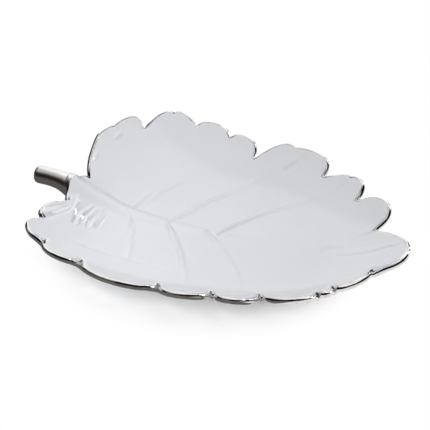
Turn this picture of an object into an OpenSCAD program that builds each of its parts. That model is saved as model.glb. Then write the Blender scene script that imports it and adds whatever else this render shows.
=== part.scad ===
// Leaf dish: a slip-cast, glazed ceramic leaf with a raised midrib and side veins,
// a standing ring under its floor, a short luted stem, and a fired metal lustre
// on its lobed edge and on the stem. Millimetres, +Z up, the foot stands on Z = 0.
// X runs from the stem to the leaf's tip, and +Y to its higher side.

/* [Leaf] */
// Length of the oval that the leaf is drawn on
oval_length = 306; // [260:1:350]
// Width of that oval
oval_width = 235; // [200:1:270]
// Thickness of the cast wall, without its lustre
wall_t = 3.8; // [3.2:0.1:4.8]

/* [Bowl] */
// Rise from the floor to the edge of the oval, as a mean all round
rise_mean = 27.5; // [20:0.5:34]
// Extra rise of the back edge, and what the front edge lies lower
rise_back = 5.5; // [0:0.5:8]
// Extra rise of both long edges, and what the stem's and the tip's edges lie lower
rise_side = 2; // [0:0.5:4]

/* [Veins] */
// How far the midrib's crest stands over the stem's flare
rib_over = 2.2; // [1.4:0.1:3]
// Height of the midrib at the leaf's tip
rib_tip_h = 0.8; // [0.4:0.1:1.5]
// How far each side of the midrib spreads past the stem's flare
rib_side = 2.6; // [2.2:0.1:4]
// Half width of the midrib at the leaf's tip
rib_tip_w = 3; // [2:0.25:5]
// Height of a side vein where it leaves the midrib
vein_h = 1.4; // [0.8:0.1:2]
// Half width of a side vein
vein_w = 3.4; // [2.5:0.1:5]

/* [Foot] */
// Height of the standing ring below the floor's underside
foot_h = 5; // [3:0.1:7]
// Width of the ring's standing face
foot_w = 5; // [3:0.5:8]

/* [Stem] */
// How far the stem reaches out of the leaf
stem_l = 34; // [26:0.5:44]
// Radius of the stem
stem_r = 7.6; // [6.5:0.1:8.5]
// Radius of the flare where the stem joins the leaf
flare_r = 10.4; // [9.5:0.1:11.5]
// How far the stem climbs from the flare to its end
stem_rise = 5; // [2:0.5:9]
// How far the middle of the flare lies below the leaf's face
joint_drop = 3.5; // [2.5:0.25:5]

/* [Lustre] */
// Thickness of the fired lustre, drawn thicker than the real film
lustre_t = 0.3; // [0.2:0.05:0.5]

/* [Hidden] */

// Heights that follow from the wall and the foot
floor_z = foot_h + wall_t;
edge_r = wall_t / 2;
// The midrib where it leaves the stem, which it covers
rib_h = flare_r - joint_drop + rib_over;
rib_w = flare_r + rib_side;
rib_power = 1.5;

// Centre of the bowl's oval, and how it narrows towards the tip
oval_centre_shares = [0.04, 0.01];
oval_taper_share = 0.22;
oval_power = 2.5;
// Where the wall starts to leave the floor, as a share of the oval's radius
wall_start_share = 0.505;
wall_start_back_share = 0.045;
wall_power = 2;

// The lobed outline, counter-clockwise from the front side of the stem. Each row is one lobe:
// the notch before it, its apex, where its arc is centred between its two notches,
// how full the arc is at that notch (more is softer), and its steps.
// X is a share of the oval's length, and Y of its width.
lobe_shares = [
    [-0.415, -0.085, -0.450, -0.175, 0.45, 1.0,  8], // beside the stem, front
    [-0.425, -0.235, -0.440, -0.335, 0.45, 1.0,  8], // front corner
    [-0.375, -0.360, -0.335, -0.415, 0.50, 1.0, 12],
    [-0.270, -0.370, -0.150, -0.445, 0.55, 1.0, 14],
    [-0.050, -0.365,  0.025, -0.440, 0.55, 1.0, 12],
    [ 0.090, -0.340,  0.160, -0.400, 0.55, 1.0, 12],
    [ 0.210, -0.300,  0.295, -0.335, 0.60, 1.0, 10],
    [ 0.350, -0.245,  0.370, -0.240, 0.50, 1.0,  6],
    [ 0.380, -0.195,  0.430, -0.160, 0.60, 1.0, 10],
    [ 0.455, -0.090,  0.535,  0.015, 0.50, 1.0, 12], // tip
    [ 0.410,  0.155,  0.440,  0.255, 0.40, 1.0, 11],
    [ 0.335,  0.290,  0.350,  0.345, 0.30, 1.0,  8],
    [ 0.305,  0.380,  0.275,  0.390, 0.50, 1.4,  6],
    [ 0.220,  0.385,  0.215,  0.445, 0.35, 1.0,  9],
    [ 0.115,  0.475,  0.070,  0.485, 0.50, 1.4,  7],
    [ 0.000,  0.430, -0.015,  0.490, 0.30, 1.0, 11],
    [-0.090,  0.490, -0.140,  0.530, 0.45, 1.0,  9],
    [-0.200,  0.505, -0.245,  0.535, 0.40, 1.0,  7],
    [-0.275,  0.525, -0.315,  0.505, 0.50, 1.4,  7],
    [-0.345,  0.420, -0.390,  0.445, 0.45, 1.0,  8],
    [-0.425,  0.365, -0.452,  0.285, 0.30, 1.4,  9], // back corner
    [-0.410,  0.100, -0.435,  0.020, 0.50, 1.0,  8], // stem seat
];

// The midrib's line from the stem to the tip
spine_shares = [
    [-0.430, 0.010], [-0.330, 0.018], [-0.200, 0.005], [-0.060, -0.008],
    [ 0.070, 0.000], [ 0.200, 0.018], [ 0.360, 0.030], [ 0.520, 0.055],
];
// How the mesh's columns leave the midrib: they crowd towards the stem, as the veins do
root_start_share = -0.380;
root_end_share = 0.480;
root_power = 1.9;

// Side veins: where each leaves the midrib, where it ends, and how far it bows
// to its left, as a share of its own length
vein_shares = [
    [-0.345, -0.290, -0.215,  0.06], // front, from the stem to the tip
    [-0.265, -0.165, -0.330,  0.05],
    [-0.145,  0.020, -0.370,  0.05],
    [-0.025,  0.165, -0.320,  0.06],
    [ 0.120,  0.310, -0.215,  0.06],
    [ 0.270,  0.420, -0.120,  0.04],
    [-0.350, -0.320,  0.230, -0.04], // back, from the stem to the tip
    [-0.270, -0.125,  0.370,  0.05],
    [-0.135,  0.110,  0.440,  0.08],
    [ 0.010,  0.295,  0.360,  0.10],
    [ 0.300,  0.405,  0.135,  0.04],
];
vein_parts = 5;

// Rings of the mesh: near the midrib at shares of its width, then at shares of the way out
rib_ring_shares = [0.10, 0.35, 1.0];
wall_ring_shares = [0.32, 0.50, 0.66, 0.80, 0.91];
under_ring_shares = [0.91, 0.80, 0.66, 0.50, 0.25];
edge_angles = [90, 45, 0, -45, -90];

// The standing ring's outer edge, as a share of the oval's radius
foot_share = 0.41;
foot_points = 96;

function unit(v) = v / norm(v);
function on_oval(s) = [s[0] * oval_length, s[1] * oval_width];
function spine_y(x) = lookup(x / oval_length, spine_shares) * oval_width;

// Place of a plan point on the bowl's oval: its radius as a share, and its direction
function oval_uv(p) = let(
    u = (p[0] / oval_length - oval_centre_shares[0]) * 2,
    v = (p[1] / oval_width - oval_centre_shares[1]) * 2 / (1 - oval_taper_share * u)
) [u, v];
function oval_radius(uv) = pow(
    pow(abs(uv[0]), oval_power) + pow(abs(uv[1]), oval_power), 1 / oval_power
);
// Height of the bowl's plain upper face over a plan point
function bowl_z(p) = let(
    uv = oval_uv(p),
    d = atan2(uv[1], uv[0]),
    start = wall_start_share - wall_start_back_share * sin(d),
    rise = rise_mean + rise_back * sin(d) - rise_side * cos(2 * d),
    w = max(0, (oval_radius(uv) - start) / (1 - start))
) floor_z + rise * pow(w, wall_power);
slope_step = wall_t / 10;
function bowl_normal(p) = let(
    dx = bowl_z(p + [slope_step, 0]) - bowl_z(p - [slope_step, 0]),
    dy = bowl_z(p + [0, slope_step]) - bowl_z(p - [0, slope_step])
) unit([-dx, -dy, 2 * slope_step]);

// Veins: each is a bowed line of a few straight parts
function vein_line(s) = let(
    a = [s[0] * oval_length, spine_y(s[0] * oval_length)],
    b = on_oval([s[1], s[2]]),
    side = [-(b - a)[1], (b - a)[0]] * s[3]
) [for (k = [0 : vein_parts]) let(t = k / vein_parts) a + (b - a) * t + side * 4 * t * (1 - t)];
veins = [for (s = vein_shares) vein_line(s)];
// Distance from a point to one part, and how far along the vein its nearest point lies
function part_hit(p, a, b, k) = let(
    t = max(0, min(1, (p - a) * (b - a) / ((b - a) * (b - a))))
) [norm(p - a - (b - a) * t), (k + t) / vein_parts];
function nearest(hits) = let(
    d = min([for (h = hits) h[0]])
) [for (h = hits) if (h[0] == d) h][0];
function vein_z(p, v) = let(
    h = nearest([for (k = [0 : vein_parts - 1]) part_hit(p, v[k], v[k + 1], k)])
) vein_h * (1 - pow(h[1], 2)) * exp(-pow(h[0] / vein_w, 2) * 2);
function rib_z(p) = let(
    t = max(0, min(1, (p[0] / oval_length - spine_shares[0][0]) / (root_end_share - spine_shares[0][0]))),
    h = rib_tip_h + (rib_h - rib_tip_h) * pow(1 - t, 5),
    w = rib_tip_w + (rib_w - rib_tip_w) * pow(1 - t, 3),
    d = (p[1] - spine_y(p[0])) / w
) h * pow(max(0, 1 - d * d), rib_power);
function relief_z(p) = max(concat([rib_z(p)], [for (v = veins) vein_z(p, v)]));
function face_z(p) = bowl_z(p) + relief_z(p);

// Outline, its outward directions, and the mesh's columns from the midrib to the edge
lobes = len(lobe_shares);
half_turn = 180;
function lobe_point(i, a) = let(
    r = lobe_shares[i],
    s = lobe_shares[(i + 1) % lobes],
    from = on_oval([r[0], r[1]]),
    to = on_oval([s[0], s[1]]),
    apex = on_oval([r[2], r[3]]),
    centre = from + (to - from) * r[4],
    full = cos(a) >= 0 ? r[5] : s[5],
    side = (cos(a) >= 0 ? from : to) - centre
) centre + side * pow(abs(cos(a)), full) + (apex - centre) * pow(sin(a), full);
cut_line = [
    for (i = [0 : lobes - 1]) for (k = [0 : lobe_shares[i][6] - 1])
        lobe_point(i, half_turn * k / lobe_shares[i][6])
];
n = len(cut_line);
// The sponged outline: each point moves towards the middle of its neighbours, which opens the notches
sponge_share = 0.5;
outline = [
    for (i = [0 : n - 1])
        cut_line[i] * (1 - sponge_share) + (cut_line[(i + 1) % n] + cut_line[(i + n - 1) % n]) * sponge_share / 2
];
half = n / 2;
seat_half = lobe_shares[lobes - 1][6] / 2;
outward = [
    for (i = [0 : n - 1]) let(d = outline[(i + 1) % n] - outline[(i + n - 1) % n]) unit([d[1], -d[0]])
];
inner = [for (i = [0 : n - 1]) outline[i] - outward[i] * edge_r];
function column_rank(i) = let(m = (i + seat_half) % n) m <= half ? m : n - m;
function root(i) = let(
    s = root_start_share + (root_end_share - root_start_share) * pow(column_rank(i) / half, root_power)
) [s * oval_length, spine_y(s * oval_length)];
roots = [for (i = [0 : n - 1]) root(i)];
function column_point(i, t) = roots[i] + (inner[i] - roots[i]) * t;
// Share of a column at which a ring near the midrib crosses it, within the first ring of the wall
rib_ring_limit_share = 0.8;
function rib_ring(i, s) = min(
    s * rib_w / norm(inner[i] - roots[i]),
    s * wall_ring_shares[0] * rib_ring_limit_share
);

function top_point(p) = [p[0], p[1], face_z(p)];
function under_point(p) = [p[0], p[1], bowl_z(p)] - bowl_normal(p) * wall_t;
// A point of the rounded edge, at an angle over its middle and at a radius
function edge_point(i, a, r) = let(
    q = inner[i],
    up = bowl_normal(q),
    o = [outward[i][0], outward[i][1], 0],
    out = unit(o - up * (o * up)),
    mid = top_point(q) - up * edge_r
) mid + (out * cos(a) + up * sin(a)) * r;

top_rings = concat(
    [for (s = rib_ring_shares) [for (i = [0 : n - 1]) top_point(column_point(i, rib_ring(i, s)))]],
    [for (s = wall_ring_shares) [for (i = [0 : n - 1]) top_point(column_point(i, s))]]
);
edge_rings = [for (a = edge_angles) [for (i = [0 : n - 1]) edge_point(i, a, edge_r)]];
skin_rings = [for (a = edge_angles) [for (i = [0 : n - 1]) edge_point(i, a, edge_r + lustre_t)]];
under_rings = [for (s = under_ring_shares) [for (i = [0 : n - 1]) under_point(column_point(i, s))]];

function joined(lists) = [for (l = lists) for (p = l) p];
// Faces between rings of n points each, listed from the inside out over the edge.
// From the ring called back on, the rings run the other way, and so do the quads' diagonals.
function band_faces(count, closed, back) = [
    for (j = [0 : count - (closed ? 1 : 2)]) for (i = [0 : n - 1]) let(
        a = j * n + i,
        b = j * n + (i + 1) % n,
        c = ((j + 1) % count) * n + (i + 1) % n,
        d = ((j + 1) % count) * n + i
    ) each (j < back ? [[a, b, d], [b, c, d]] : [[a, b, c], [a, c, d]])
];
// Faces of the strip that closes a ring along the midrib, column against column
function strip_faces(base, up) = [
    for (m = [0 : half - 1]) let(
        a = base + (m - seat_half + n) % n,
        b = base + (m + 1 - seat_half + n) % n,
        c = base + (n - m - 1 - seat_half) % n,
        d = base + (2 * n - m - seat_half) % n
    ) each [
        if (m > 0) up ? [a, d, b] : [a, b, d],
        if (m < half - 1) up ? [b, d, c] : [b, c, d]
    ]
];

module leaf_blank() {
    rings = concat(top_rings, edge_rings, under_rings);
    polyhedron(
        points = joined(rings),
        faces = concat(
            band_faces(len(rings), false, len(rings)),
            strip_faces(0, true),
            strip_faces((len(rings) - 1) * n, false)
        )
    );
}

// The stem's stations. Its root lies under the midrib: way out, height and radius, as shares
// of the flare's radius. Then the stem itself: share of its way out, share of its climb,
// and its radius in shares of the flare's and of the stem's.
root_shares = [[-1.00, -0.25, 0.12], [-0.65, -0.29, 0.74]];
stem_shares = [
    [0.02, 0.00, 1.00, 0.00],
    [0.16, 0.35, 0.50, 0.50],
    [0.34, 0.70, 0.00, 1.06],
    [0.58, 0.92, 0.00, 1.00],
    [0.82, 1.00, 0.00, 1.00],
    [0.95, 1.00, 0.00, 0.91],
    [1.00, 1.00, 0.00, 0.66],
];
stations = concat(
    [for (s = root_shares) s * flare_r],
    [for (s = stem_shares) [s[0] * stem_l, s[1] * stem_rise, s[2] * flare_r + s[3] * stem_r]]
);
stem_x = lobe_shares[lobes - 1][2] * oval_length;
stem_y = spine_y(stem_x);
joint_z = bowl_z([stem_x, stem_y]) - joint_drop;
disc_t = edge_r / 10;
stem_sides = 24;
function station_at(k) = [stem_x - stations[k][0], stem_y, joint_z + stations[k][1]];
// The root and the flare stand upright, under the midrib, and the rest follows the stem's line
function station_way(k) = k <= len(root_shares)
    ? [-1, 0, 0]
    : unit(station_at(min(k + 1, len(stations) - 1)) - station_at(k - 1));

module station(k, grow) {
    way = station_way(k);
    last = k == len(stations) - 1;
    translate(station_at(k) + way * (last ? grow : 0))
        rotate([0, acos(way[2]), atan2(way[1], way[0])])
            cylinder(r = stations[k][2] + grow, h = disc_t, center = true, $fn = stem_sides);
}

// The stem as one round form, grown by a coat all over
module stem_form(grow) {
    for (k = [0 : len(stations) - 2])
        hull() {
            station(k, grow);
            station(k + 1, grow);
        }
}

// The break in the rim's lustre where the midrib runs on into the stem
seat_gap_shares = [2.25, 1.5, 1.5];
module seat_gap() {
    translate([stem_x, stem_y, joint_z] - [seat_gap_shares[1], seat_gap_shares[1], 0] * flare_r / 2)
        cube(seat_gap_shares * flare_r);
}

module skin_blank() {
    rings = concat(skin_rings, [for (j = [len(edge_rings) - 1 : -1 : 0]) edge_rings[j]]);
    polyhedron(points = joined(rings), faces = band_faces(len(rings), true, len(skin_rings)));
}

function oval_point(share, a) = let(
    c = cos(a),
    s = sin(a),
    r = share / pow(pow(abs(c), oval_power) + pow(abs(s), oval_power), 1 / oval_power)
) [
    (r * c / 2 + oval_centre_shares[0]) * oval_length,
    (r * s / 2 * (1 - oval_taper_share * r * c) + oval_centre_shares[1]) * oval_width
];
function oval_lengthine(share) = [for (k = [0 : foot_points - 1]) oval_point(share, 360 * k / foot_points)];

// The model's middle, which the origin lies under
rim_x = [for (p = joined(skin_rings)) p[0]];
rim_y = [for (p = joined(skin_rings)) p[1]];
stem_end = station_at(len(stations) - 1)[0] - lustre_t - disc_t / 2;
middle = [(stem_end + max(rim_x)) / 2, (min(rim_y) + max(rim_y)) / 2, 0];

module leaf_dish() {
    color("white") translate(-middle) leaf_blank();
}

module foot_ring() {
    color("ivory") translate(-middle)
        linear_extrude(foot_h)
            difference() {
                polygon(oval_lengthine(foot_share));
                polygon(oval_lengthine(foot_share - 2 * foot_w / oval_width));
            }
}

module stem() {
    color("whitesmoke") translate(-middle) difference() {
        stem_form(0);
        leaf_blank();
    }
}

module rim_lustre() {
    color("silver") translate(-middle) difference() {
        skin_blank();
        stem_form(lustre_t);
        seat_gap();
    }
}

module stem_lustre() {
    color("gray") translate(-middle) difference() {
        stem_form(lustre_t);
        stem_form(0);
        leaf_blank();
    }
}

leaf_dish();
foot_ring();
stem();
rim_lustre();
stem_lustre();
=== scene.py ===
"""Leaf dish: a slip-cast white earthenware leaf under clear glaze, with a fired metal
lustre on its lobed edge and its stem, on a pale studio sweep. Metres, +Z up."""

import math

import bpy
import numpy as np
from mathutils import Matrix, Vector


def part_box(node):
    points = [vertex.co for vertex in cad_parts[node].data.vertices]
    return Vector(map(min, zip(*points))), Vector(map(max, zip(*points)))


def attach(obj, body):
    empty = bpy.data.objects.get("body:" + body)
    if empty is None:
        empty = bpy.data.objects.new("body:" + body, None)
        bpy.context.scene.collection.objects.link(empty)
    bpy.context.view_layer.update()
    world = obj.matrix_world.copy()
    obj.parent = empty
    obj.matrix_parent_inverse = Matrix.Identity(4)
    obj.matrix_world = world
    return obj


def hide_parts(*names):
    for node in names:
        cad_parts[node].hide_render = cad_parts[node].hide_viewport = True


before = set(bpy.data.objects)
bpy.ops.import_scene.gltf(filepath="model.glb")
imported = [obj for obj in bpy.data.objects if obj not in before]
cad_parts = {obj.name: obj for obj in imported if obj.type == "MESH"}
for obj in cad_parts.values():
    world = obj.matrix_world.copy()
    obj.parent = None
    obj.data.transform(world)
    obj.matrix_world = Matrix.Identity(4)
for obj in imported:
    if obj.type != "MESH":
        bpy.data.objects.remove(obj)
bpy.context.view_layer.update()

bl_info = {
    "name": "Leaf Dish",
    "version": (1, 0, 0),
    "blender": (4, 5, 0),
    "location": "3D Viewport > Sidebar > Leaf Dish",
    "description": "Builds a glazed leaf dish with a lustred edge and stem in a soft studio",
    "category": "Object",
}

MM = 0.001

# The leaf's shares, as the frame has them: X of the oval's length, Y of its width.
# Each lobe: the notch before it, its apex, where its arc is centred between its notches,
# how full the arc is at that notch, and its steps.
LOBE_SHARES = (
    (-0.415, -0.085, -0.450, -0.175, 0.45, 1.0, 8),
    (-0.425, -0.235, -0.440, -0.335, 0.45, 1.0, 8),
    (-0.375, -0.360, -0.335, -0.415, 0.50, 1.0, 12),
    (-0.270, -0.370, -0.150, -0.445, 0.55, 1.0, 14),
    (-0.050, -0.365, 0.025, -0.440, 0.55, 1.0, 12),
    (0.090, -0.340, 0.160, -0.400, 0.55, 1.0, 12),
    (0.210, -0.300, 0.295, -0.335, 0.60, 1.0, 10),
    (0.350, -0.245, 0.370, -0.240, 0.50, 1.0, 6),
    (0.380, -0.195, 0.430, -0.160, 0.60, 1.0, 10),
    (0.455, -0.090, 0.535, 0.015, 0.50, 1.0, 12),
    (0.410, 0.155, 0.440, 0.255, 0.40, 1.0, 11),
    (0.335, 0.290, 0.350, 0.345, 0.30, 1.0, 8),
    (0.305, 0.380, 0.275, 0.390, 0.50, 1.4, 6),
    (0.220, 0.385, 0.215, 0.445, 0.35, 1.0, 9),
    (0.115, 0.475, 0.070, 0.485, 0.50, 1.4, 7),
    (0.000, 0.430, -0.015, 0.490, 0.30, 1.0, 11),
    (-0.090, 0.490, -0.140, 0.530, 0.45, 1.0, 9),
    (-0.200, 0.505, -0.245, 0.535, 0.40, 1.0, 7),
    (-0.275, 0.525, -0.315, 0.505, 0.50, 1.4, 7),
    (-0.345, 0.420, -0.390, 0.445, 0.45, 1.0, 8),
    (-0.425, 0.365, -0.452, 0.285, 0.30, 1.4, 9),
    (-0.410, 0.100, -0.435, 0.020, 0.50, 1.0, 8),
)
# The midrib's line from the stem to the tip
SPINE_SHARES = (
    (-0.430, 0.010), (-0.330, 0.018), (-0.200, 0.005), (-0.060, -0.008),
    (0.070, 0.000), (0.200, 0.018), (0.360, 0.030), (0.520, 0.055),
)
# Side veins: where each leaves the midrib, where it ends, how far it bows to its left, and
# how strong it is
VEIN_SHARES = (
    (-0.345, -0.290, -0.215, 0.06, 0.5), (-0.265, -0.165, -0.330, 0.05, 1.6),
    (-0.145, 0.020, -0.370, 0.05, 1.8), (-0.025, 0.165, -0.320, 0.06, 1.4),
    (0.120, 0.310, -0.215, 0.06, 0.2), (0.270, 0.420, -0.120, 0.04, 0.15),
    (-0.350, -0.320, 0.230, -0.04, 0.3), (-0.270, -0.125, 0.370, 0.05, 1.3),
    (-0.135, 0.110, 0.440, 0.08, 1.5), (0.010, 0.295, 0.360, 0.10, 1.6),
    (0.300, 0.405, 0.135, 0.04, 0.9),
)
# Creases pressed in the soft cast: two ends, depth and half width in millimetres; those with
# a depth under zero are raised
CREASE_SHARES = (
    (-0.348, -0.268, -0.298, -0.262, 0.528, 2.2), (-0.298, -0.262, -0.186, -0.249, 0.72, 2.4),
    (-0.186, -0.249, -0.097, -0.259, 0.624, 2.4), (-0.097, -0.259, -0.044, -0.271, 0.432, 2.4),
    (-0.423, -0.243, -0.397, -0.111, 0.96, 2.6), (-0.450, -0.205, -0.411, -0.104, 0.72, 2.4),
    (-0.437, -0.235, -0.404, -0.105, -0.84, 2.4), (-0.366, -0.165, -0.378, -0.089, 1.20, 2.0),
    (-0.352, -0.130, -0.362, -0.055, 1.20, 1.9), (-0.332, -0.150, -0.345, -0.050, 1.20, 1.9),
    (-0.307, -0.133, -0.320, -0.035, 1.08, 2.0), (-0.355, -0.170, -0.370, -0.060, -0.96, 1.9),
    (-0.342, -0.140, -0.353, -0.045, -1.08, 1.7), (-0.320, -0.140, -0.332, -0.040, -0.96, 1.8),
    (-0.385, -0.120, -0.392, -0.050, -1.08, 2.0), (-0.399, -0.036, -0.378, -0.062, -0.96, 1.6),
    (-0.368, 0.058, -0.330, 0.083, 0.84, 2.2), (-0.352, 0.085, -0.346, 0.120, 0.72, 1.8),
    (0.332, 0.072, 0.413, 0.142, 0.96, 3.0), (0.304, -0.010, 0.480, 0.040, 0.60, 3.0),
    (0.037, 0.004, 0.120, 0.017, 0.48, 2.4), (-0.404, 0.325, -0.398, 0.350, -0.72, 2.4),
    (-0.428, 0.175, -0.424, 0.205, -0.72, 2.4), (0.100, 0.414, 0.130, 0.438, -0.84, 1.8),
    (0.106, 0.400, 0.136, 0.424, 0.72, 1.8), (0.277, 0.348, 0.298, 0.366, -0.72, 2.0),
)
# The oval's middle, how much it narrows towards the tip, and how square its corners are
OVAL_CENTRE = (0.04, 0.01)
OVAL_TAPER = 0.22
OVAL_POWER = 2.5
# Where the floor ends and the wall starts, and how much nearer the middle that is at the back
WALL_START, WALL_START_BACK = 0.505, 0.045
# Columns of faces start along this part of the midrib, closer together near the stem
ROOT_START, ROOT_END, ROOT_POWER = -0.380, 0.480, 1.9
# Powers by which the midrib falls and narrows towards the tip, and rounds over its sides
RIB_FALL, RIB_NARROW, RIB_ROUND = 5, 3, 1.5
# Where two reliefs cross the higher one shows, blended by this power
BLEND_POWER = 4
# Grooves along the midrib and the veins: depth, and place and spread in their half widths
RIB_GROOVE = (0.05 * MM, 1.3, 0.45)
VEIN_GROOVE = (0.30 * MM, 1.5, 0.95)
# The foot ring's outer edge, as a share of the oval
FOOT_SHARE = 0.41
# How far the sponge rounds a notch, in steps of a lobe
SPONGE_STEPS = 0.7
# The sponged edge is a little fuller than a half round, and leans up
EDGE_POWER, EDGE_LEAN = 2.8, math.radians(29)
# The section's radius is drawn at this share, as its fuller corners stand out
EDGE_SHARE = 0.955
# Waves round the leaf, in radians: how much, how many and where they start. The edge's lean
# and the lustre band's edges follow them
LEAN_WAVES = ((0.18, 31, 0.7), (0.14, 67, 0.0))
BRUSH_WAVES = ((0.11, 37, 0.0), (0.08, 83, 1.3))
# Notches dip and hold lustre in front of FRONT_Y, and at the stem's end beyond END_X where
# they lie in front of END_Y; the lustre there has painted dark reflection. They are full
# POOL_REACH further on, or a fifth of it at that end
FRONT_Y, END_X, END_Y, POOL_REACH = 20 * MM, -118 * MM, 50 * MM, 50 * MM
# The face also rolls over where the edge faces this way, between front and tip: how far, as a
# share of a notch's dip, and how much further where it faces the tip
ROLL_WAY, ROLL, ROLL_TIP = (0.6, -0.8), 0.12, 0.33
# The edge's middle stands in and down from the face's rim by these
EDGE_IN, EDGE_DOWN = 0.17 * MM, 0.07 * MM
# How far in from the edge the bead under it starts
BEAD_REACH = 6 * MM
# Turn over the edge's middle at which the lustre starts, in degrees, what facing the back and
# facing the stem add to it, and the turn at which it ends
BAND_TOP, BAND_TOP_BACK, BAND_TOP_STEM, BAND_END = 62, 10, 30, -88
# How far lustre runs in over the face at a notch
RUN_IN = 2.8 * MM
# The stem's root in the leaf, as shares of the flare's radius: out, up, and its own radius
ROOT_SHARES = ((-1.00, -0.25, 0.12), (-0.65, -0.29, 0.74))
# The stem: out as a share of its length, up as one of its rise, and its radius as the sum of
# a share of the flare's and a share of the stem's
STEM_SHARES = (
    (0.02, 0.00, 1.00, 0.00), (0.16, 0.35, 0.50, 0.50), (0.34, 0.70, 0.00, 1.06),
    (0.58, 0.92, 0.00, 1.00), (0.82, 1.00, 0.00, 1.00), (0.90, 1.00, 0.00, 0.98),
    (0.95, 1.00, 0.00, 0.90), (0.98, 1.00, 0.00, 0.74), (0.993, 1.00, 0.00, 0.55),
)


def linear(hex_colour):
    """An sRGB hex colour as linear red, green and blue."""
    parts = [int(hex_colour[i:i + 2], 16) / 255 for i in (0, 2, 4)]
    return tuple(c / 12.92 if c <= 0.04045 else ((c + 0.055) / 1.055) ** 2.4 for c in parts)


def length(name, description, default, **more):
    return bpy.props.FloatProperty(
        name=name, description=description, default=default, unit="LENGTH", precision=5, **more)


def colour(name, description, default):
    return bpy.props.FloatVectorProperty(
        name=name, description=description, default=linear(default), subtype="COLOR",
        size=3, min=0.0, max=1.0)


class LeafDishForm(bpy.types.PropertyGroup):
    """Sizes of the leaf, its veins, its foot and its stem"""

    oval_length: length("Oval length", "Length of the oval that the leaf is drawn on", 0.306)
    oval_width: length("Oval width", "Width of that oval", 0.235)
    wall: length("Wall", "Thickness of the cast wall under its lustre", 0.0038)
    rise: length("Rise", "Rise from the floor to the oval's edge, as a mean", 0.0275)
    rise_back: length("Back rise", "Extra rise of the back edge", 0.0055)
    rise_side: length("Side rise", "Extra rise of both long edges", 0.002)
    rib_over: length("Midrib over stem", "How far the midrib stands over the flare", 0.0012)
    rib_side: length("Midrib past stem", "How far the midrib spreads past the flare", 0.0026)
    rib_tip_height: length("Midrib height at tip", "Height of the midrib at the tip", 0.0004)
    rib_tip_width: length("Midrib width at tip", "Half width of the midrib at the tip", 0.005)
    vein_height: length("Vein height", "Height of a side vein at the midrib", 0.0014)
    vein_width: length("Vein width", "Half width of a side vein", 0.0032)
    foot_height: length("Foot height", "Height of the standing ring", 0.005)
    foot_width: length("Foot width", "Width of the standing ring", 0.005)
    stem_length: length("Stem length", "How far the stem reaches out", 0.034)
    stem_radius: length("Stem radius", "Radius of the stem", 0.0076)
    flare_radius: length("Flare radius", "Radius of the flare at the leaf", 0.0104)
    stem_rise: length("Stem rise", "How far the stem climbs", 0.005)
    joint_drop: length("Joint drop", "How far the flare's middle lies under the face", 0.0035)
    lustre: length("Lustre", "Thickness of the lustre, drawn thicker than the film", 0.0002)
    notch_dip: length("Notch dip", "How far the front face dips towards a notch", 0.0040)
    notch_reach: length("Notch reach", "How far in from a notch that dip starts", 0.0056)
    bead: length("Edge bead", "How far the edge hangs below the wall", 0.0013)


class LeafDishFinish(bpy.types.PropertyGroup):
    """Colours of the glaze, the clay and the lustre"""

    glaze: colour("Glaze", "White body seen through the clear glaze", "E8E9ED")
    glaze_pool: colour("Glaze pool", "Cooler tint where the glaze pools", "E1E3E8")
    clay: colour("Clay", "Bare fired clay of the foot", "E2DCD0")
    clay_dark: colour("Clay shade", "Handling marks on the bare clay", "CFC6B6")
    lustre: colour("Lustre", "Fired metal lustre", "DEDCDB")
    # Used at random where the rim's coat is thin, and on the stem's sides and underside as
    # painted shade
    lustre_thin_and_shaded: colour("Thin lustre", "Lustre where its coat is thin", "C9BCB6")
    # Painted dark reflection, laid on the lustre at the notches and along its upper edge by the
    # stem
    lustre_painted_dark: colour("Lustre's end", "Dark film where the brush has run into a notch", "34302E")


class LeafDishStage(bpy.types.PropertyGroup):
    """Camera, lamps and floor"""

    azimuth: bpy.props.FloatProperty(
        name="Azimuth", description="The camera's turn round the dish", default=math.radians(20),
        subtype="ANGLE")
    elevation: bpy.props.FloatProperty(
        name="Elevation", description="The camera's height over the horizon",
        default=math.radians(34), subtype="ANGLE")
    distance: length("Distance", "From the camera to the dish", 1.0)
    target_height: length("Target height", "Height that the camera looks at", 0.02)
    lens: bpy.props.FloatProperty(
        name="Lens", description="Focal length in millimetres", default=100.0)
    shift: bpy.props.FloatProperty(
        name="Shift", description="Upward shift of the frame, in picture widths", default=7 / 430)
    floor: colour("Floor", "Pale studio sweep", "FFFFFF")
    ambient: bpy.props.FloatProperty(
        name="Ambient", description="Level of the light that comes from all round", default=0.06)
    panels: bpy.props.FloatProperty(
        name="Panels", description="Power that the soft panels take their shares of, in watts",
        default=54.5)
    spot: bpy.props.FloatProperty(
        name="Small lamp", description="Power of the small lamp, in watts",
        default=1.5)


# ---------------------------------------------------------------- shapes

def hump(away, half):
    """A rounded ridge or groove, 1 in its middle and 0.14 at its half width."""
    return np.exp(-2 * (away / half) ** 2)


def sway(n, waves):
    """The sum of waves round the leaf, at each of its n columns."""
    s = np.arange(n) / n * 2 * math.pi
    return sum(much * np.sin(many * s + start) for much, many, start in waves)


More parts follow.
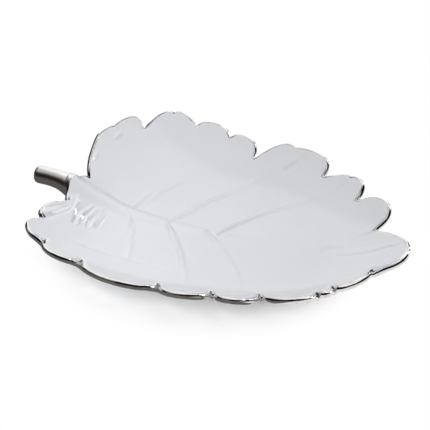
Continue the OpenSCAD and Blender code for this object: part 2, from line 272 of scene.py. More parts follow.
class Leaf:
    """The leaf's surfaces, worked out from its sizes."""

    def __init__(self, form, fineness=6):
        self.f = form
        self.fineness = fineness
        self.floor_z = form.foot_height + form.wall
        self.edge_r = form.wall / 2
        self.rib_h = form.flare_radius - form.joint_drop + form.rib_over
        self.rib_w = form.flare_radius + form.rib_side
        # The oval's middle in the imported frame: the foot ring is centred on it
        lo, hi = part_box("foot_ring")
        self.shift = np.array([
            (lo[0] + hi[0]) / 2 - OVAL_CENTRE[0] * form.oval_length,
            (lo[1] + hi[1]) / 2 - OVAL_CENTRE[1] * form.oval_width,
            0.0,
        ])
        self.veins = [self.vein_line(row) for row in VEIN_SHARES]
        self.make_outline()

    def spine_y(self, x):
        xs, ys = zip(*SPINE_SHARES)
        return np.interp(x / self.f.oval_length, xs, ys) * self.f.oval_width

    def rise_over(self, p):
        f = self.f
        u = (p[..., 0] / f.oval_length - OVAL_CENTRE[0]) * 2
        v = (p[..., 1] / f.oval_width - OVAL_CENTRE[1]) * 2 / (1 - OVAL_TAPER * u)
        r = (abs(u) ** OVAL_POWER + abs(v) ** OVAL_POWER) ** (1 / OVAL_POWER)
        d = np.arctan2(v, u)
        start = WALL_START - WALL_START_BACK * np.sin(d)
        rise = f.rise + f.rise_back * np.sin(d) - f.rise_side * np.cos(2 * d)
        return rise * np.maximum(0, (r - start) / (1 - start)) ** 2

    def bowl(self, p):
        return self.floor_z + self.rise_over(p)

    def bowl_normal(self, p):
        e = 0.2 * MM
        dx = (self.bowl(p + [e, 0]) - self.bowl(p - [e, 0])) / (2 * e)
        dy = (self.bowl(p + [0, e]) - self.bowl(p - [0, e])) / (2 * e)
        n = np.stack([-dx, -dy, np.ones_like(dx)], axis=-1)
        return n / np.linalg.norm(n, axis=-1, keepdims=True)

    def vein_line(self, row, parts=24):
        f = self.f
        a = np.array([row[0] * f.oval_length, self.spine_y(row[0] * f.oval_length)])
        b = np.array([row[1] * f.oval_length, row[2] * f.oval_width])
        side = np.array([-(b - a)[1], (b - a)[0]]) * row[3]
        t = np.linspace(0, 1, parts + 1)[:, None]
        return a + (b - a) * t + side * 4 * t * (1 - t)

    def vein(self, p, line):
        """Distance to a vein's line, and how far along it the nearest point lies."""
        best, along = np.full(p.shape[:-1], 1.0), np.zeros(p.shape[:-1])
        parts = len(line) - 1
        for k in range(parts):
            a, d = line[k], line[k + 1] - line[k]
            t = np.clip(((p - a) @ d) / (d @ d), 0, 1)
            away = np.linalg.norm(p - a - t[..., None] * d, axis=-1)
            near = away < best
            best = np.where(near, away, best)
            along = np.where(near, (k + t) / parts, along)
        return best, along

    def relief(self, p):
        f = self.f
        t = np.clip((p[..., 0] / f.oval_length - SPINE_SHARES[0][0])
                    / (ROOT_END - SPINE_SHARES[0][0]), 0, 1)
        h = f.rib_tip_height + (self.rib_h - f.rib_tip_height) * (1 - t) ** RIB_FALL
        w = f.rib_tip_width + (self.rib_w - f.rib_tip_width) * (1 - t) ** RIB_NARROW
        d = (p[..., 1] - self.spine_y(p[..., 0])) / w
        total = (h * np.maximum(0, 1 - d * d) ** RIB_ROUND) ** BLEND_POWER
        # A groove runs along each side of the midrib and of each vein, past where it starts
        deep, place, spread = RIB_GROOVE
        grooves = deep * np.exp(-((abs(d) - place) / spread) ** 2) * np.minimum(1, 3 * t)
        deep, place, spread = VEIN_GROOVE
        for line, row in zip(self.veins, VEIN_SHARES):
            away, along = self.vein(p, line)
            fade = row[4] * (1 - along) ** 1.1
            total = total + (f.vein_height * fade * hump(away, f.vein_width)) ** BLEND_POWER
            starts = np.clip((along - 0.10) / 0.20, 0, 1)
            grooves = grooves + deep * fade * starts * np.exp(
                -((away / f.vein_width - place) / spread) ** 2)
        size = np.array([f.oval_length, f.oval_width])
        for x0, y0, x1, y1, depth, half in CREASE_SHARES:
            a, d = np.array([x0, y0]) * size, np.array([x1 - x0, y1 - y0]) * size
            t = ((p - a) @ d) / (d @ d)
            away = np.linalg.norm(p - a - np.clip(t, 0, 1)[..., None] * d, axis=-1)
            grooves = grooves + depth * MM * hump(away, half * MM)
        return total ** (1 / BLEND_POWER) - grooves

    def make_outline(self):
        """Fine outline, its outward directions, and the places where columns start."""
        f, fine = self.f, self.fineness
        size = np.array([f.oval_length, f.oval_width])
        raw, seat = [], []
        for i, row in enumerate(LOBE_SHARES):
            nxt = LOBE_SHARES[(i + 1) % len(LOBE_SHARES)]
            start, end, apex = (np.array(q) * size for q in (row[0:2], nxt[0:2], row[2:4]))
            centre = start + (end - start) * row[4]
            for k in range(row[6] * fine):
                a = math.pi * k / (row[6] * fine)
                full = row[5] if math.cos(a) >= 0 else nxt[5]
                side = (start if math.cos(a) >= 0 else end) - centre
                raw.append(centre + side * abs(math.cos(a)) ** full
                           + (apex - centre) * math.sin(a) ** full)
                seat.append(k / (row[6] * fine))
        raw = np.array(raw)
        self.n = len(raw)
        # Sponging rounds the notches: a soft average over the neighbours
        reach = int(3 * SPONGE_STEPS * fine)
        weights = np.exp(-0.5 * (np.arange(-reach, reach + 1) / (SPONGE_STEPS * fine)) ** 2)
        weights /= weights.sum()
        out = sum(w * np.roll(raw, -k, axis=0)
                  for w, k in zip(weights, range(-reach, reach + 1)))
        self.outline = out
        d = np.roll(out, -1, axis=0) - np.roll(out, 1, axis=0)
        outward = np.stack([d[:, 1], -d[:, 0]], axis=1)
        self.outward = outward / np.linalg.norm(outward, axis=1, keepdims=True)
        self.inner = out - self.outward * self.edge_r
        # 1 at a notch and 0 at an apex
        notch = abs(2 * np.array(seat) - 1)
        # The face dips at the notches of the lower, front side and at the stem's end
        near = np.maximum(FRONT_Y - out[:, 1],
                          (out[:, 1] < END_Y) * 5 * (END_X - out[:, 0]))
        self.pools = notch ** 4 * np.clip(near / POOL_REACH, 0.1, 1)
        ahead = np.clip((self.outward @ ROLL_WAY - 0.2) / 0.6, 0, 1)
        tipward = np.clip(out[:, 0] / (60 * MM), 0, 1) * np.clip(self.outward[:, 0], 0, 1)
        self.dips = np.maximum(self.pools, ahead * (ROLL + ROLL_TIP * tipward))
        # The sponge leans the edge a little more in one place than in another
        self.lean = EDGE_LEAN + sway(self.n, LEAN_WAVES)
        half_seat = LOBE_SHARES[-1][6] * fine / 2
        m = (np.arange(self.n) + half_seat) % self.n
        rank = np.minimum(m, self.n - m) / (self.n / 2)
        x = (ROOT_START + (ROOT_END - ROOT_START) * rank ** ROOT_POWER) * f.oval_length
        self.roots = np.stack([x, self.spine_y(x)], axis=1)
        self.pair_start = int(self.n - half_seat)

    def column(self, t):
        t = np.asarray(t)
        if t.ndim:
            t = t[:, None]
        return self.roots + (self.inner - self.roots) * t

    def top(self, p):
        z = self.bowl(p) + self.relief(p)
        return np.concatenate([p, z[:, None]], axis=1)

    def dip(self, p):
        """How far the wall dips towards a notch, at one point of each column."""
        away = np.linalg.norm(self.inner - p, axis=1) / self.f.notch_reach
        return self.f.notch_dip * self.dips * np.maximum(0, 1 - away) ** 1.7

    def face(self, p):
        q = self.top(p)
        q[:, 2] -= self.dip(p)
        return q

    def under(self, p):
        q = np.concatenate([p, self.bowl(p)[:, None]], axis=1)
        away = np.linalg.norm(self.inner - p, axis=1) / BEAD_REACH
        q = q - self.bowl_normal(p) * self.f.wall
        q[:, 2] -= self.dip(p) + self.f.bead * np.maximum(0, 1 - away) ** 2
        return q

    def edge(self, angle, radius):
        """A ring of the rounded edge, at an angle over its middle."""
        up = self.bowl_normal(self.inner)
        o = np.concatenate([self.outward, np.zeros((self.n, 1))], axis=1)
        out = o - up * np.sum(o * up, axis=1, keepdims=True)
        out /= np.linalg.norm(out, axis=1, keepdims=True)
        mid = self.face(self.inner - EDGE_IN * self.outward) - up * (self.edge_r + EDGE_DOWN)
        angle = np.broadcast_to(np.asarray(angle, float), (self.n,))[:, None]
        turned = angle - self.lean[:, None]
        full = (abs(np.cos(turned)) ** EDGE_POWER + abs(np.sin(turned)) ** EDGE_POWER)
        radius = EDGE_SHARE * radius * full ** (-1 / EDGE_POWER)
        ring = mid + (out * np.cos(angle) + up * np.sin(angle)) * radius
        ring[:, 2] -= self.f.bead * np.maximum(0, -np.sin(angle[:, 0]))
        return ring


def band_faces(rings, n, closed=False):
    j = np.arange(rings if closed else rings - 1)[:, None]
    i = np.arange(n)[None, :]
    k = (i + 1) % n
    m = (j + 1) % rings
    quads = np.stack([j * n + i, j * n + k, m * n + k, m * n + i], axis=-1)
    return quads.reshape(-1, 4).tolist()


def strip_faces(base, n, start, up):
    """Closes a ring along the midrib, column against column."""
    faces = []
    for m in range(n // 2):
        a = base + (m + start) % n
        b = base + (m + 1 + start) % n
        c = base + (n - m - 1 + start) % n
        d = base + (n - m + start) % n
        quad = [a, d, c, b] if up else [a, b, c, d]
        seen = []
        for q in quad:
            if q not in seen:
                seen.append(q)
        if len(seen) > 2:
            faces.append(seen)
    return faces


def add_object(name, data):
    thing = bpy.data.objects.new(name, data)
    bpy.context.scene.collection.objects.link(thing)
    return thing


def make_piece(name, points, faces, material, nodes, coat=None):
    mesh = bpy.data.meshes.new(name)
    mesh.from_pydata([tuple(map(float, p)) for p in points], [], faces)
    # The "coat" attribute carries the lustre's painted dark: 1 for plain lustre, falling towards
    # 0 where it is painted dark
    if coat is not None:
        mesh.attributes.new("coat", "FLOAT", "POINT").data.foreach_set("value", coat)
    mesh.validate()
    for poly in mesh.polygons:
        poly.use_smooth = True
    mesh.materials.append(material)
    piece = add_object(name, mesh)
    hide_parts(*nodes)
    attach(piece, "root")
    return piece


# ---------------------------------------------------------------- materials

def add_node(tree, kind, settings=None, links=None):
    """Adds a node, sets its attributes and input values, and links its inputs."""
    node = tree.nodes.new(kind)
    for key, value in (settings or {}).items():
        if isinstance(key, str) and hasattr(node, key):
            setattr(node, key, value)
        else:
            node.inputs[key].default_value = value
    for key, source in (links or {}).items():
        tree.links.new(source, node.inputs[key])
    return node


def new_material(name):
    material = bpy.data.materials.new(name)
    material.use_nodes = True
    material.node_tree.nodes.clear()
    return material, material.node_tree


def object_place(tree):
    """Places on the object itself, in metres."""
    return add_node(tree, "ShaderNodeTexCoord").outputs["Object"]


def noise(tree, place, size_mm, detail):
    """A noise whose features are about size_mm wide."""
    return add_node(tree, "ShaderNodeTexNoise", {"Scale": 1 / (size_mm * MM), "Detail": detail},
                    {"Vector": place}).outputs["Fac"]


def blend(tree, share, low, high):
    """Goes from one colour to another as a socket goes from 0 to 1."""
    return add_node(tree, "ShaderNodeMix", {"data_type": "RGBA", 6: (*low, 1.0),
                                            7: (*high, 1.0)}, {0: share}).outputs[2]


def bumps(tree, height, strength, distance):
    return add_node(tree, "ShaderNodeBump", {"Strength": strength, "Distance": distance},
                    {"Height": height}).outputs[0]


def seen_directly(tree):
    """1 for rays from the camera, a mirror or glass, and 0 for those that light things."""
    ray = add_node(tree, "ShaderNodeLightPath")
    seen = ray.outputs["Is Camera Ray"]
    for kind in ("Is Glossy Ray", "Is Transmission Ray"):
        seen = add_node(tree, "ShaderNodeMath", {"operation": "MAXIMUM"},
                        {0: seen, 1: ray.outputs[kind]}).outputs[0]
    return seen


def glazed_earthenware(finish):
    """Slip-cast white earthenware under a clear gloss glaze: a soft white body with a sharp
    clear reflection over it, a little cooler where the glaze pools."""
    material, tree = new_material("glazed_white_earthenware")
    place = object_place(tree)
    pool = noise(tree, place, 60, 2.0)
    # Clear glaze lies in long, very shallow swells, with finer ones over them
    swells = add_node(tree, "ShaderNodeMath", {"operation": "MULTIPLY_ADD", 1: 0.25},
                      {0: noise(tree, place, 5, 1.0), 2: noise(tree, place, 16, 1.0)})
    sheen = add_node(tree, "ShaderNodeMapRange", {"To Min": 0.05, "To Max": 0.11},
                     {"Value": pool})
    shader = add_node(tree, "ShaderNodeBsdfPrincipled", {"IOR": 1.5},
                      {"Base Color": blend(tree, pool, finish.glaze, finish.glaze_pool),
                       "Roughness": sheen.outputs[0],
                       "Normal": bumps(tree, swells.outputs[0], 0.6, 0.5 * MM)})
    add_node(tree, "ShaderNodeOutputMaterial", links={"Surface": shader.outputs[0]})
    return material


def metal_lustre(finish, name, rough, patchy_with_painted_dark=False):
    """Platinum lustre, brushed on and fired: a thin mirror of metal that follows the glaze.
    With patchy edges it is warmer and a little duller at random where the coat is thin, and takes
    painted dark reflection where the piece's "coat" attribute falls from 1 to 0. Without them
    its sides and underside are warmer, darker and duller by their facing, as painted shade."""
    material, tree = new_material(name)
    here = add_node(tree, "ShaderNodeTexCoord")
    place = here.outputs["Object"]
    if patchy_with_painted_dark:
        thin = add_node(tree, "ShaderNodeMapRange", {"From Min": 0.52, "From Max": 0.72},
                        {"Value": noise(tree, place, 9, 3.0)})
    else:
        # Painted shade: the sides and underside take the thin lustre's darker, browner tint and
        # more roughness by their facing; the top keeps the paler lustre
        way = add_node(tree, "ShaderNodeSeparateXYZ", links={0: here.outputs["Normal"]})
        thin = add_node(tree, "ShaderNodeMapRange", {"From Min": 0.55, "From Max": 0.0},
                        {"Value": way.outputs["Z"]})
    tint = blend(tree, thin.outputs[0], finish.lustre, finish.lustre_thin_and_shaded)
    if patchy_with_painted_dark:
        # Where the "coat" attribute falls from 1 to 0 the colour goes over to the painted dark
        # reflection
        film = add_node(tree, "ShaderNodeAttribute", {"attribute_name": "coat"})
        tint = add_node(tree, "ShaderNodeMix", {"data_type": "RGBA",
                                                6: (*finish.lustre_painted_dark, 1.0)},
                        {0: film.outputs["Fac"], 7: tint}).outputs[2]
    dull = add_node(tree, "ShaderNodeMapRange", {"To Min": rough, "To Max": rough + 0.10},
                    {"Value": thin.outputs[0]})
    ripple = noise(tree, place, 7, 1.0)
    shader = add_node(tree, "ShaderNodeBsdfPrincipled", {"Metallic": 1.0},
                      {"Base Color": tint, "Roughness": dull.outputs[0],
                       "Normal": bumps(tree, ripple, 0.3, 0.3 * MM)})
    add_node(tree, "ShaderNodeOutputMaterial", links={"Surface": shader.outputs[0]})
    return material


def bare_clay(finish, name):
    """Earthenware wiped clean of glaze and fired: matt, chalky and faintly grainy."""
    material, tree = new_material(name)
    place = object_place(tree)
    tint = blend(tree, noise(tree, place, 14, 4.0), finish.clay, finish.clay_dark)
    # Clay grain is about 0.1 mm, drawn at 0.8 mm so that it shows
    grain = noise(tree, place, 0.8, 2.0)
    shader = add_node(tree, "ShaderNodeBsdfPrincipled", {"Roughness": 0.78},
                      {"Base Color": tint, "Normal": bumps(tree, grain, 0.4, 0.1 * MM)})
    add_node(tree, "ShaderNodeOutputMaterial", links={"Surface": shader.outputs[0]})
    return material


def sweep_paper(stage):
    """Matt white background paper: it keeps the dish's shadow near it and is plain white
    further off."""
    material, tree = new_material("white_sweep_paper")
    oval = add_node(tree, "ShaderNodeMapping", {"Location": (0.012, 0.033, 0.0),
                                                "Scale": (0.78, 1.0, 1.0)},
                    {"Vector": object_place(tree)})
    away = add_node(tree, "ShaderNodeVectorMath", {"operation": "LENGTH"},
                    {0: oval.outputs[0]})
    far = add_node(tree, "ShaderNodeMapRange",
                   {"interpolation_type": "SMOOTHSTEP", "From Min": 0.076, "From Max": 0.116,
                    "To Min": 0.36}, {"Value": away.outputs["Value"]})
    plain = add_node(tree, "ShaderNodeMath", {"operation": "MULTIPLY"},
                     {0: seen_directly(tree), 1: far.outputs[0]})
    paper = add_node(tree, "ShaderNodeBsdfDiffuse", {"Color": (*stage.floor, 1.0)})
    white = add_node(tree, "ShaderNodeEmission", {"Color": (1, 1, 1, 1), "Strength": 1.0})
    mix = add_node(tree, "ShaderNodeMixShader", links={
        0: plain.outputs[0], 1: paper.outputs[0], 2: white.outputs[0]})
    add_node(tree, "ShaderNodeOutputMaterial", links={"Surface": mix.outputs[0]})
    return material


def room_side(name, low, high, height=1.0, start=0.6, level=1.0, way=(0, 0, 1)):
    """A side of the studio, as the glaze and the metal mirror it: one tone at the horizon,
    and another from a height towards the ceiling, or from a distance along another way. The
    change starts at a share of that height. Level multiplies both tones."""
    material, tree = new_material(name)
    up = add_node(tree, "ShaderNodeVectorMath", {"operation": "DOT_PRODUCT", 1: way},
                  {0: object_place(tree)})
    share = add_node(tree, "ShaderNodeMapRange",
                     {"interpolation_type": "SMOOTHSTEP", "From Min": start * height,
                      "From Max": height}, {"Value": up.outputs["Value"]})
    tint = blend(tree, share.outputs[0], linear(low), linear(high))
    glow = add_node(tree, "ShaderNodeEmission", {"Strength": level}, {"Color": tint})
    add_node(tree, "ShaderNodeOutputMaterial", links={"Surface": glow.outputs[0]})
    return material


# ---------------------------------------------------------------- operators

class LEAFDISH_OT_glazed_leaf(bpy.types.Operator):
    """Builds the glazed leaf with its midrib, veins and rounded edge"""

    bl_idname = "leafdish.glazed_leaf"
    bl_label = "Glazed leaf"

    def execute(self, context):
        leaf = Leaf(context.scene.leaf_dish_form)
        reach = np.linalg.norm(leaf.inner - leaf.roots, axis=1)
        rings = []
        # Over the midrib, then out over this share of each column, closer towards the edge
        blade = 0.68
        for s in (0.03, 0.07, 0.12, 0.18, 0.25, 0.33, 0.42, 0.52, 0.65, 0.82, 1.0):
            t = np.minimum(s * leaf.rib_w / reach, s * 0.8 * (1 - blade))
            rings.append(leaf.face(leaf.column(t)))
        for s in np.linspace(0, 0.985, 44):
            rings.append(leaf.face(leaf.column(1 - blade * (1 - s) ** 1.25)))
        angles = np.linspace(math.pi / 2, -math.pi / 2, 17)
        rings += [leaf.edge(a, leaf.edge_r) for a in angles]
        for t in np.linspace(0.97, 0.2, 24):
            rings.append(leaf.under(leaf.column(t)))
        n = leaf.n
        faces = band_faces(len(rings), n)
        faces += strip_faces(0, n, leaf.pair_start, True)
        faces += strip_faces((len(rings) - 1) * n, n, leaf.pair_start, False)
        points = np.concatenate(rings) + leaf.shift
        make_piece("glazed_leaf", points, faces,
                   glazed_earthenware(context.scene.leaf_dish_finish), ["leaf_dish"])
        return {"FINISHED"}


class LEAFDISH_OT_rim_lustre(bpy.types.Operator):
    """Builds the lustre band on the leaf's rounded edge"""

    bl_idname = "leafdish.rim_lustre"
    bl_label = "Rim lustre"

    def execute(self, context):
        form = context.scene.leaf_dish_form
        leaf = Leaf(form)
        # A brush leaves the band's edges a little uneven. Its upper edge lies lower on the
        # front side than at the back, and further in on the back side's edges by the stem
        wander = sway(leaf.n, BRUSH_WAVES)
        stemward = (np.clip(-1.6 * leaf.outward[:, 0] - 0.6, 0, 1)
                    * np.clip(leaf.outline[:, 1] / (40 * MM), 0, 1))
        top = wander + np.radians(
            BAND_TOP + BAND_TOP_BACK * leaf.outward[:, 1] + BAND_TOP_STEM * stemward)
        low = wander + math.radians(BAND_END)
        # Painted dark reflection on the lustre, strongest in the front notches
        painted_notch_dark = np.clip(leaf.pools * 2.5, 0, 1)
        rings, undarkened_shares = [], []
        # At a notch the brush has run in over the face; elsewhere the film hides in the glaze
        over = (np.clip(leaf.dips * 8, 0, 1) * 0.12 - 0.06) * MM
        for share in (1.0, 0.66, 0.33):
            inward = RUN_IN * leaf.dips ** 0.7 * share
            ring = leaf.face(leaf.inner - leaf.outward * inward[:, None])
            ring[:, 2] += over * (1.2 - share)
            rings.append(ring)
            # Over the face the lustre is painted dark in full at the notches
            undarkened_shares.append(1 - painted_notch_dark)
        for share in np.linspace(0, 1, 21):
            # The film thins out to nothing at both edges
            film = form.lustre * min(1.0, 8 * share + 0.08, 8 * (1 - share) + 0.08)
            rings.append(leaf.edge(top + (low - top) * share, leaf.edge_r + film))
            # It has painted dark reflection near its upper edge at the notches, and a painted
            # dark line along its upper edge by the stem
            undarkened_shares.append(1 - painted_notch_dark * max(0.0, 1 - 5 * share)
                         - 0.9 * stemward * max(0.0, 1 - 7 * share))
        # The band's inner side lies in the glaze
        for share in np.linspace(0.98, 0.02, 9):
            rings.append(leaf.edge(top + (low - top) * share, leaf.edge_r - 0.1 * MM))
            undarkened_shares.append(np.ones(leaf.n))
        points = np.concatenate(rings) + leaf.shift
        make_piece("rim_lustre_band", points, band_faces(len(rings), leaf.n, closed=True),
                   metal_lustre(context.scene.leaf_dish_finish, "platinum_lustre_on_edge", 0.05,
                                True),
                   ["rim_lustre"], coat=np.concatenate(undarkened_shares))
        return {"FINISHED"}


def stem_stations(leaf):
    f = leaf.f
    x = LOBE_SHARES[-1][2] * f.oval_length
    y = float(leaf.spine_y(x))
    z = float(leaf.bowl(np.array([x, y]))) - f.joint_drop
    rows = [(a * f.flare_radius, b * f.flare_radius, c * f.flare_radius)
            for a, b, c in ROOT_SHARES]
    rows += [(a * f.stem_length, b * f.stem_rise, c * f.flare_radius + d * f.stem_radius)
             for a, b, c, d in STEM_SHARES]
    return [(Vector((x - out, y, z + up)), r) for out, up, r in rows]


def on_curve(before, a, b, after, t):
    """A place on the smooth curve from a to b, given the stations before and after them."""
    return 0.5 * (2 * a + (b - before) * t + (2 * before - 5 * a + 4 * b - after) * t * t
                  + (3 * a - before - 3 * b + after) * t ** 3)


def stem_rings(leaf, grow, parts=8, sides=64):
    """Rings of the stem's round form, on a smooth curve through its stations."""
    st = stem_stations(leaf)
    line = np.array([[*p, r] for p, r in st])
    rows = []
    for k in range(len(line) - 1):
        a, b = line[k], line[k + 1]
        before = line[k - 1] if k else a - (b - a)
        after = line[k + 2] if k + 2 < len(line) else b + (b - a)
        rows += [on_curve(before, a, b, after, j / parts) for j in range(parts)]
    rows.append(line[-1])
    rows = np.array(rows)
    centre, radius = rows[:, :3], rows[:, 3]
    way = np.gradient(centre, axis=0)
    # The root and the flare stand upright in the leaf; past them the stem follows its line
    free = np.clip(np.arange(len(rows)) / parts - len(ROOT_SHARES), 0, 1)[:, None]
    way = way / np.linalg.norm(way, axis=1, keepdims=True) * free - (1 - free) * [1, 0, 0]
    way /= np.linalg.norm(way, axis=1, keepdims=True)
    side = np.array([0.0, 1.0, 0.0])
    up = np.cross(side, way)
    turn = np.linspace(0, 2 * math.pi, sides, endpoint=False)
    rings = []
    for c, r, u, w in zip(centre, radius, up, way):
        rings.append(c + (np.outer(np.cos(turn), side) + np.outer(np.sin(turn), u)) * (r + grow))
    # The stem's end is rounded off
    end_r = radius[-1] + grow
    for a in (0.3, 0.55, 0.75, 0.9):
        rings.append(centre[-1] + way[-1] * grow * math.sin(a * math.pi / 2)
                     + (np.outer(np.cos(turn), side) + np.outer(np.sin(turn), up[-1]))
                     * end_r * math.cos(a * math.pi / 2))
    return rings


def capped_tube(rings):
    n = len(rings[0])
    faces = band_faces(len(rings), n)
    points = list(np.concatenate(rings))
    points.append(rings[0].mean(axis=0))
    points.append(rings[-1].mean(axis=0))
    last = (len(rings) - 1) * n
    faces += [[len(points) - 2, (i + 1) % n, i] for i in range(n)]
    faces += [[len(points) - 1, last + i, last + (i + 1) % n] for i in range(n)]
    return np.array(points), faces


class LEAFDISH_OT_stem(bpy.types.Operator):
    """Builds the luted stem and the lustre over it"""

    bl_idname = "leafdish.stem"
    bl_label = "Stem"

    def execute(self, context):
        form = context.scene.leaf_dish_form
        finish = context.scene.leaf_dish_finish
        leaf = Leaf(form, fineness=1)
        points, faces = capped_tube(stem_rings(leaf, 0.0))
        make_piece("stem_clay_body", points + leaf.shift, faces,
                   bare_clay(finish, "stem_fired_clay"), ["stem"])
        points, faces = capped_tube(stem_rings(leaf, form.lustre))
        make_piece("stem_lustre_coat", points + leaf.shift, faces,
                   metal_lustre(finish, "platinum_lustre_on_stem", 0.32),
                   ["stem_lustre"])
        return {"FINISHED"}


class LEAFDISH_OT_foot_ring(bpy.types.Operator):
    """Builds the standing ring with its wiped, bare face"""

    bl_idname = "leafdish.foot_ring"
    bl_label = "Foot ring"

    def execute(self, context):
        form = context.scene.leaf_dish_form
        leaf = Leaf(form, fineness=1)
        w, h = form.foot_width, form.foot_height
        # Out from the ring's outer edge and up, as shares of its width and height
        profile = ((-0.06, 1.02), (-0.04, 0.80), (-0.05, 0.45), (-0.08, 0.18), (-0.16, 0.04),
                   (-0.26, 0.0), (-0.74, 0.0), (-0.84, 0.04), (-0.92, 0.18), (-0.95, 0.45),
                   (-0.96, 0.80), (-0.94, 1.02))
        turn = np.linspace(0, 2 * math.pi, 192, endpoint=False)
        c, s = np.cos(turn), np.sin(turn)
        k = (abs(c) ** OVAL_POWER + abs(s) ** OVAL_POWER) ** (-1 / OVAL_POWER)

        def line(share):
            r = share * k
            x = (r * c / 2 + OVAL_CENTRE[0]) * form.oval_length
            y = (r * s / 2 * (1 - OVAL_TAPER * r * c) + OVAL_CENTRE[1]) * form.oval_width
            return np.stack([x, y], axis=1)

        rings = []
        for out, up in profile:
            xy = line(FOOT_SHARE + 2 * out * w / form.oval_width)
            rings.append(np.concatenate([xy, np.full((len(xy), 1), up * h)], axis=1))
        points = np.concatenate(rings) + leaf.shift
        faces = [f[::-1] for f in band_faces(len(rings), len(turn), closed=True)]
        make_piece("foot_ring_bare", points, faces,
                   bare_clay(context.scene.leaf_dish_finish, "wiped_earthenware_foot"),
                   ["foot_ring"])
        return {"FINISHED"}


def way_out(turn, height):
    """The direction from the dish at a turn from the front and a height, both in radians."""
    return (math.sin(turn) * math.cos(height), -math.cos(turn) * math.cos(height),
            math.sin(height))


class LEAFDISH_OT_stage(bpy.types.Operator):
    """Sets up the sweep, the lamps and the camera"""

    bl_idname = "leafdish.stage"
    bl_label = "Stage"

    def execute(self, context):
        scene = context.scene
        stage = scene.leaf_dish_stage
        form = scene.leaf_dish_form
        leaf = Leaf(form, fineness=1)
        middle = Vector((leaf.shift[0], leaf.shift[1], stage.target_height))

        self.floor(stage)
        self.room(stage)
        self.lamps(stage, middle)
        self.world(scene, stage)

        camera = add_object("camera", bpy.data.cameras.new("camera"))
        back = Vector(way_out(stage.azimuth, stage.elevation))
        camera.location = middle + back * stage.distance
        camera.rotation_euler = (-back).to_track_quat("-Z", "Y").to_euler()
        camera.data.lens = stage.lens
        camera.data.sensor_width = 36.0
        camera.data.shift_y = stage.shift
        scene.camera = camera
        scene.view_settings.view_transform = "Standard"
        return {"FINISHED"}

    def floor(self, stage):
        mesh = bpy.data.meshes.new("sweep")
        half = 3.0
        mesh.from_pydata([(-half, -half, 0), (half, -half, 0), (half, half, 0), (-half, half, 0)],
                         [], [(0, 1, 2, 3)])
        mesh.materials.append(sweep_paper(stage))
        sweep = add_object("sweep", mesh)

    def mirrored_only(self, name, points, faces, material):
        """A surface of the studio that only reflections show."""
        mesh = bpy.data.meshes.new(name)
        mesh.from_pydata(points, [], faces)
        mesh.materials.append(material)
        side = add_object(name, mesh)
        side.visible_camera = False
        side.visible_diffuse = False
        side.visible_transmission = False
        side.visible_shadow = False

    def dome(self, name, stage, start, end, radius, material, bottom=0, top=88):
        """A part of a dome over the dish, between two turns from the camera and two heights,
        in degrees."""
        points, faces = [], []
        across, up = 48, 24
        for j in range(up + 1):
            e = math.radians(bottom + (top - bottom) * j / up)
            for i in range(across + 1):
                a = stage.azimuth + math.radians(start + (end - start) * i / across)
                points.append([radius * part for part in way_out(a, e)])
        row = across + 1
        for j in range(up):
            for i in range(across):
                faces.append((j * row + i, j * row + i + 1, (j + 1) * row + i + 1,
                              (j + 1) * row + i))
        self.mirrored_only(name, points, faces, material)

    def room(self, stage):
        """The unlit side of the studio round the camera, the lit side behind the dish and its
        glow on the unlit side, a black cloth, two strip lamps, and a grey card before the dish.
        What stands before something else has the smaller radius."""
        black, pale, white = "100E0E", "EBEBEB", "FFFFFF"
        radius = 2.4
        self.dome("unlit_side", stage, -150, 122, radius,
                  room_side("unlit_side_of_studio", black, "DCD8D6", radius, start=0.78,
                            way=(-0.40, 0.07, 0.92)))
        # The lit side's glow fades out towards this turn
        turn = stage.azimuth + math.radians(32)
        self.dome("fading_side", stage, 32, 122, 2.38,
                  room_side("fading_side_of_studio", pale, black, radius / 2.2, start=0.0,
                            level=1.4, way=way_out(turn, 0)), bottom=34)
        self.dome("lit_side", stage, 122, 210, radius,
                  room_side("lit_side_of_studio", pale, white, radius, start=0.5, level=1.5))
        self.dome("dark_flag", stage, 118, 152, 2.3, room_side("black_cloth", black, black),
                  bottom=0, top=24)
        self.dome("bright_strip", stage, 104, 117, 2.2,
                  room_side("strip_lamp", white, white, level=6.0), bottom=14, top=30)
        self.dome("glint_strip", stage, 131, 136, 2.1,
                  room_side("small_strip_lamp", white, white, level=16.0), bottom=6, top=20)
        # Turn from the front and reach of the card's inner edge, in metres
        inner = ((-130, 0.15), (-105, 0.14), (-85, 0.13), (-60, 0.12), (-40, 0.11), (-20, 0.10),
                 (0, 0.10), (20, 0.105), (40, 0.12))
        card = []
        outer, over_floor = 2.3, 1 * MM
        for turn, reach in inner + tuple((turn, outer) for turn, _ in reversed(inner)):
            x, y, _ = way_out(math.radians(turn), 0)
            card.append((reach * x, reach * y, over_floor))
        n = len(inner)
        quads = [(i, 2 * n - 1 - i, 2 * n - 2 - i, i + 1) for i in range(n - 1)]
        self.mirrored_only("grey_card", card, quads,
                           room_side("grey_card", "747372", "747372"))

    def lamps(self, stage, middle):
        def lamp(name, turn, height, away, wide, deep, power):
            data = bpy.data.lights.new(name, "AREA")
            data.shape = "RECTANGLE"
            data.size, data.size_y, data.energy = wide, deep, power
            obj = add_object(name, data)
            way = Vector(way_out(stage.azimuth + math.radians(turn), math.radians(height)))
            obj.location = middle + way * away
            obj.rotation_euler = (-way).to_track_quat("-Z", "Y").to_euler()
            return obj

        # Turn round the dish from the camera, height, and share of the panels' power
        for name, turn, height, share in (
                ("panel_front", 0, 48, 0.24), ("panel_left", -45, 48, 0.17),
                ("panel_right", 130, 48, 0.24), ("panel_low", 160, 28, 0.16),
                ("panel_over", 0, 88, 0.03)):
            panel = lamp(name, turn, height, away=2.0, wide=2.2, deep=1.8,
                         power=stage.panels * share)
            panel.visible_glossy = False
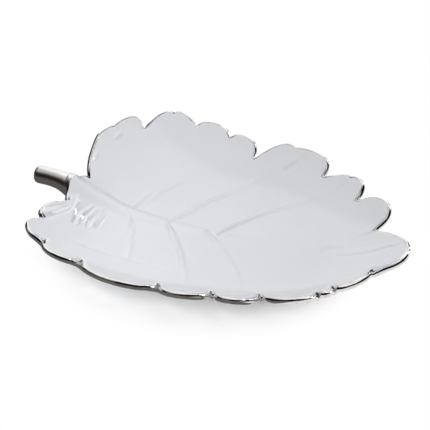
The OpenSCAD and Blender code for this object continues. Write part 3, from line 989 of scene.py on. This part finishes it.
        # A weak one close by on the stem's side, whose light falls off along the dish
        near = lamp("near_panel", -75, 38, away=0.45, wide=0.3, deep=0.3,
                    power=stage.panels * 0.0135)
        near.visible_glossy = near.visible_camera = False
        # This one only gives the glaze its small glints
        glint = lamp("small_lamp", 117, 42, away=1.4, wide=0.03, deep=0.03, power=stage.spot)
        glint.visible_diffuse = False

    def world(self, scene, stage):
        world = bpy.data.worlds.new("studio_air")
        scene.world = world
        world.use_nodes = True
        tree = world.node_tree
        tree.nodes.clear()
        air = add_node(tree, "ShaderNodeBackground",
                       {"Color": (1, 1, 1, 1), "Strength": stage.ambient})
        white = add_node(tree, "ShaderNodeBackground", {"Color": (1, 1, 1, 1), "Strength": 1.0})
        mix = add_node(tree, "ShaderNodeMixShader", links={
            0: seen_directly(tree), 1: air.outputs[0], 2: white.outputs[0]})
        add_node(tree, "ShaderNodeOutputWorld", links={"Surface": mix.outputs[0]})


class LEAFDISH_PT_panel(bpy.types.Panel):
    """Lists the dish's steps and sizes"""

    bl_idname = "LEAFDISH_PT_panel"
    bl_label = "Leaf Dish"
    bl_space_type = "VIEW_3D"
    bl_region_type = "UI"
    bl_category = "Leaf Dish"

    def draw(self, context):
        layout = self.layout
        for operator in OPERATORS:
            layout.operator(operator.bl_idname)
        for group in ("leaf_dish_form", "leaf_dish_finish", "leaf_dish_stage"):
            box = layout.box()
            values = getattr(context.scene, group)
            for name in values.bl_rna.properties.keys():
                if name not in {"rna_type", "name"}:
                    box.prop(values, name)


GROUPS = (LeafDishForm, LeafDishFinish, LeafDishStage)
OPERATORS = (
    LEAFDISH_OT_glazed_leaf, LEAFDISH_OT_rim_lustre, LEAFDISH_OT_stem,
    LEAFDISH_OT_foot_ring, LEAFDISH_OT_stage,
)
CLASSES = GROUPS + OPERATORS + (LEAFDISH_PT_panel,)


def register():
    for cls in CLASSES:
        bpy.utils.register_class(cls)
    bpy.types.Scene.leaf_dish_form = bpy.props.PointerProperty(type=LeafDishForm)
    bpy.types.Scene.leaf_dish_finish = bpy.props.PointerProperty(type=LeafDishFinish)
    bpy.types.Scene.leaf_dish_stage = bpy.props.PointerProperty(type=LeafDishStage)


def unregister():
    del bpy.types.Scene.leaf_dish_stage
    del bpy.types.Scene.leaf_dish_finish
    del bpy.types.Scene.leaf_dish_form
    for cls in reversed(CLASSES):
        bpy.utils.unregister_class(cls)


def main():
    register()
    bpy.ops.leafdish.glazed_leaf()
    bpy.ops.leafdish.rim_lustre()
    bpy.ops.leafdish.stem()
    bpy.ops.leafdish.foot_ring()
    bpy.ops.leafdish.stage()


if __name__ == "__main__":
    main()
